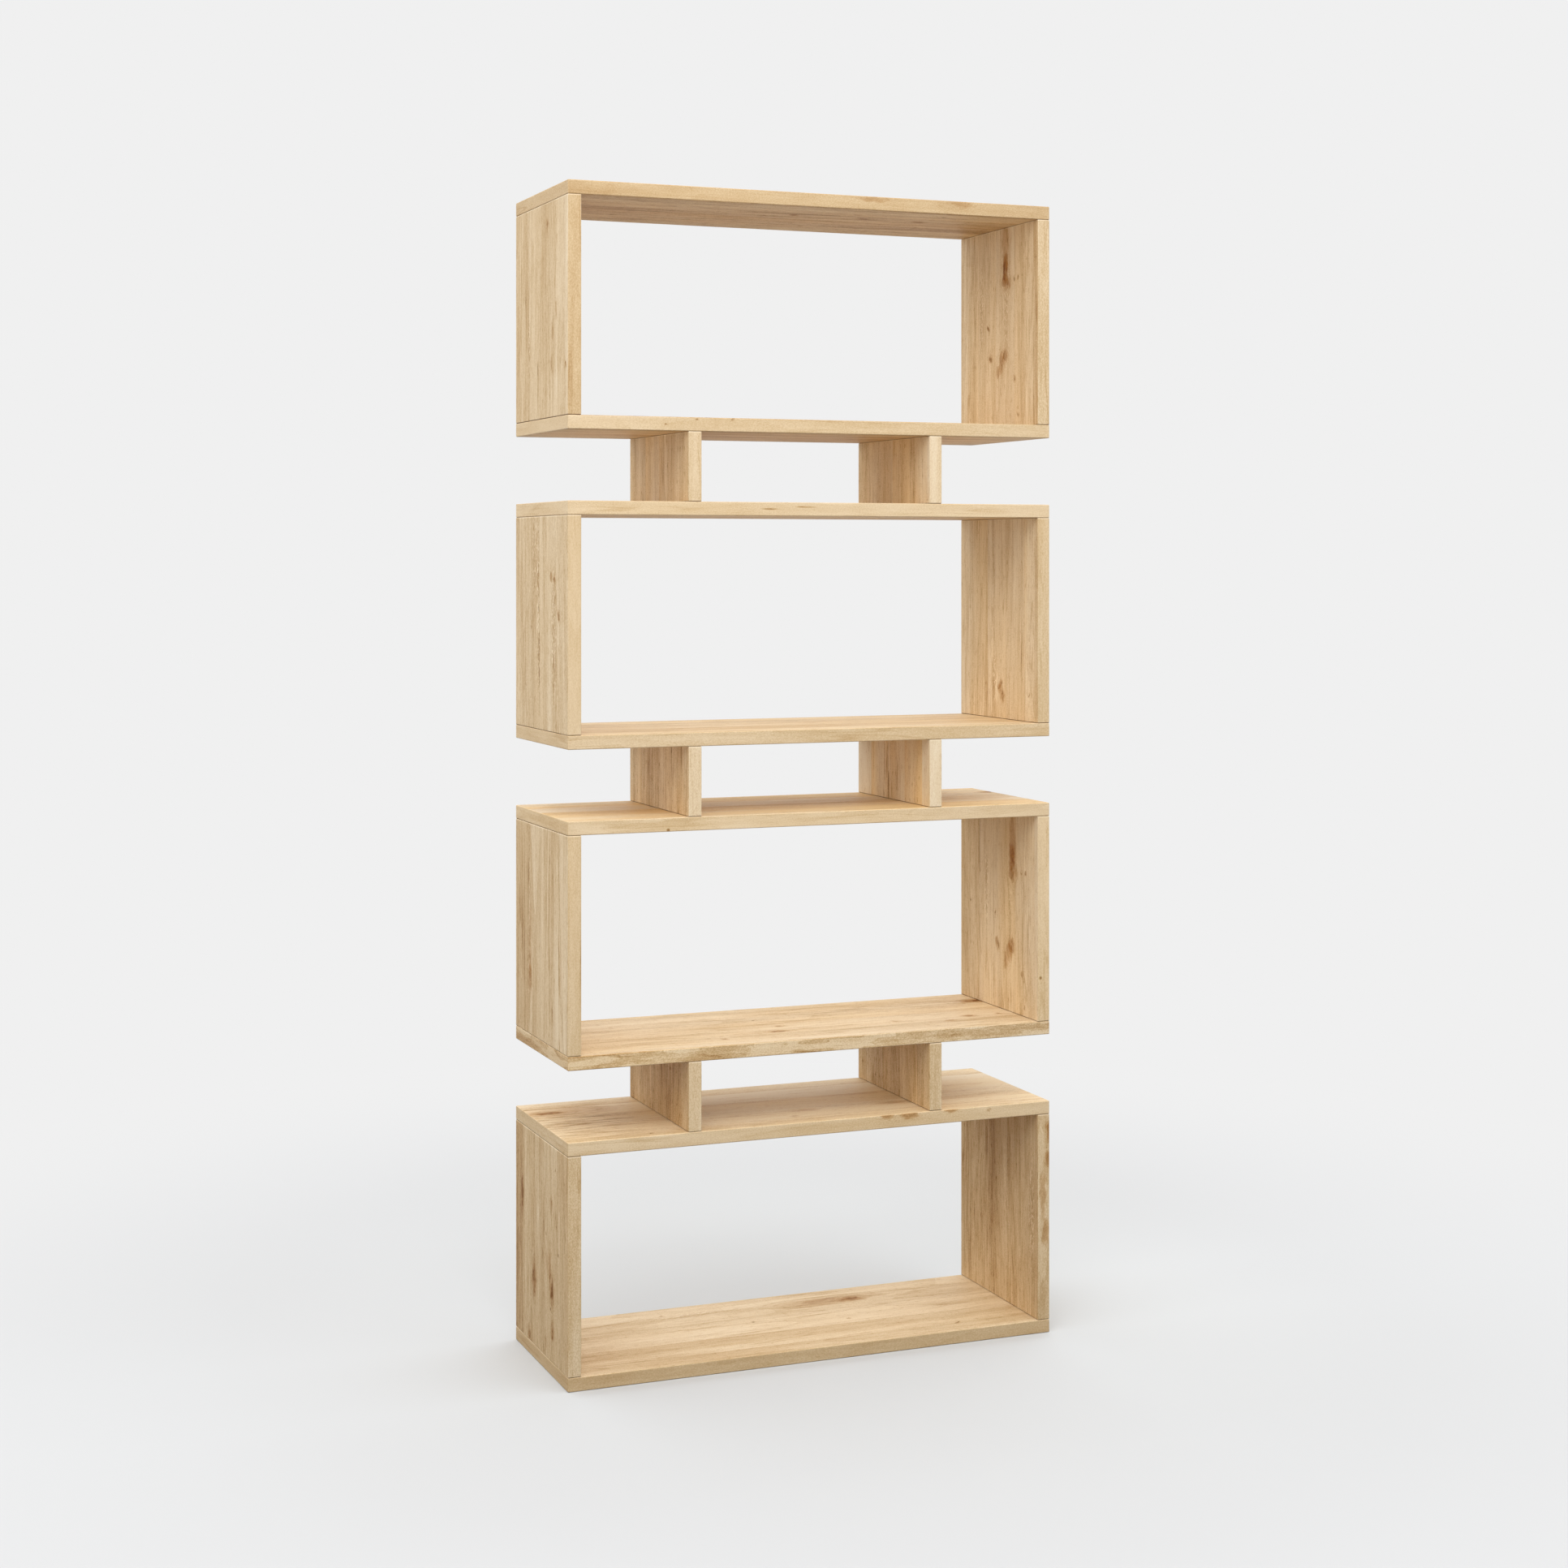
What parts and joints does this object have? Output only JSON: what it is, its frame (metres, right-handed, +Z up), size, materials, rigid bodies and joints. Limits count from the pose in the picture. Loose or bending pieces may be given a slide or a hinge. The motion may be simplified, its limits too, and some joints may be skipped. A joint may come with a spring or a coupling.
{
  "type": "bookshelf",
  "caption": "Tall open bookshelf of oiled beech: backless rectangular boxes stacked one above another, held apart by short upright spacer boards, standing flat on the floor.",
  "frame": {"origin": "on the floor, under the middle of the shelf", "axes": "+Z up, +X to the right seen from the front, +Y to the back"},
  "size_m": [0.8, 0.28, 1.794],
  "materials": {
    "oiled_beech": "oiled, satin, heartwood beech with streaks and small knots",
    "raw_beech": "raw fluted beech",
    "zinc_bolt": "zinc plated",
    "brass_insert": "turned brass"
  },
  "bodies": {
    "root": {"box1_bottom_board": "oiled_beech", "box1_top_board": "oiled_beech", "box1_left_side": "oiled_beech", "box1_right_side": "oiled_beech", "box2_bottom_board": "oiled_beech", "box2_top_board": "oiled_beech", "box2_left_side": "oiled_beech", "box2_right_side": "oiled_beech", "box3_bottom_board": "oiled_beech", "box3_top_board": "oiled_beech", "box3_left_side": "oiled_beech", "box3_right_side": "oiled_beech", "box4_bottom_board": "oiled_beech", "box4_top_board": "oiled_beech", "box4_left_side": "oiled_beech", "box4_right_side": "oiled_beech", "spacer1_left": "oiled_beech", "spacer1_right": "oiled_beech", "spacer2_left": "oiled_beech", "spacer2_right": "oiled_beech", "spacer3_left": "oiled_beech", "spacer3_right": "oiled_beech", "box1_corner_dowels": "raw_beech", "box2_corner_dowels": "raw_beech", "box3_corner_dowels": "raw_beech", "box4_corner_dowels": "raw_beech", "spacer1_upper_dowels": "raw_beech", "spacer1_locating_dowels": "raw_beech", "spacer1_bolts": "zinc_bolt", "spacer1_threaded_inserts": "brass_insert", "spacer2_upper_dowels": "raw_beech", "spacer2_locating_dowels": "raw_beech", "spacer2_bolts": "zinc_bolt", "spacer2_threaded_inserts": "brass_insert", "spacer3_upper_dowels": "raw_beech", "spacer3_locating_dowels": "raw_beech", "spacer3_bolts": "zinc_bolt", "spacer3_threaded_inserts": "brass_insert"}
  },
  "joints": []
}
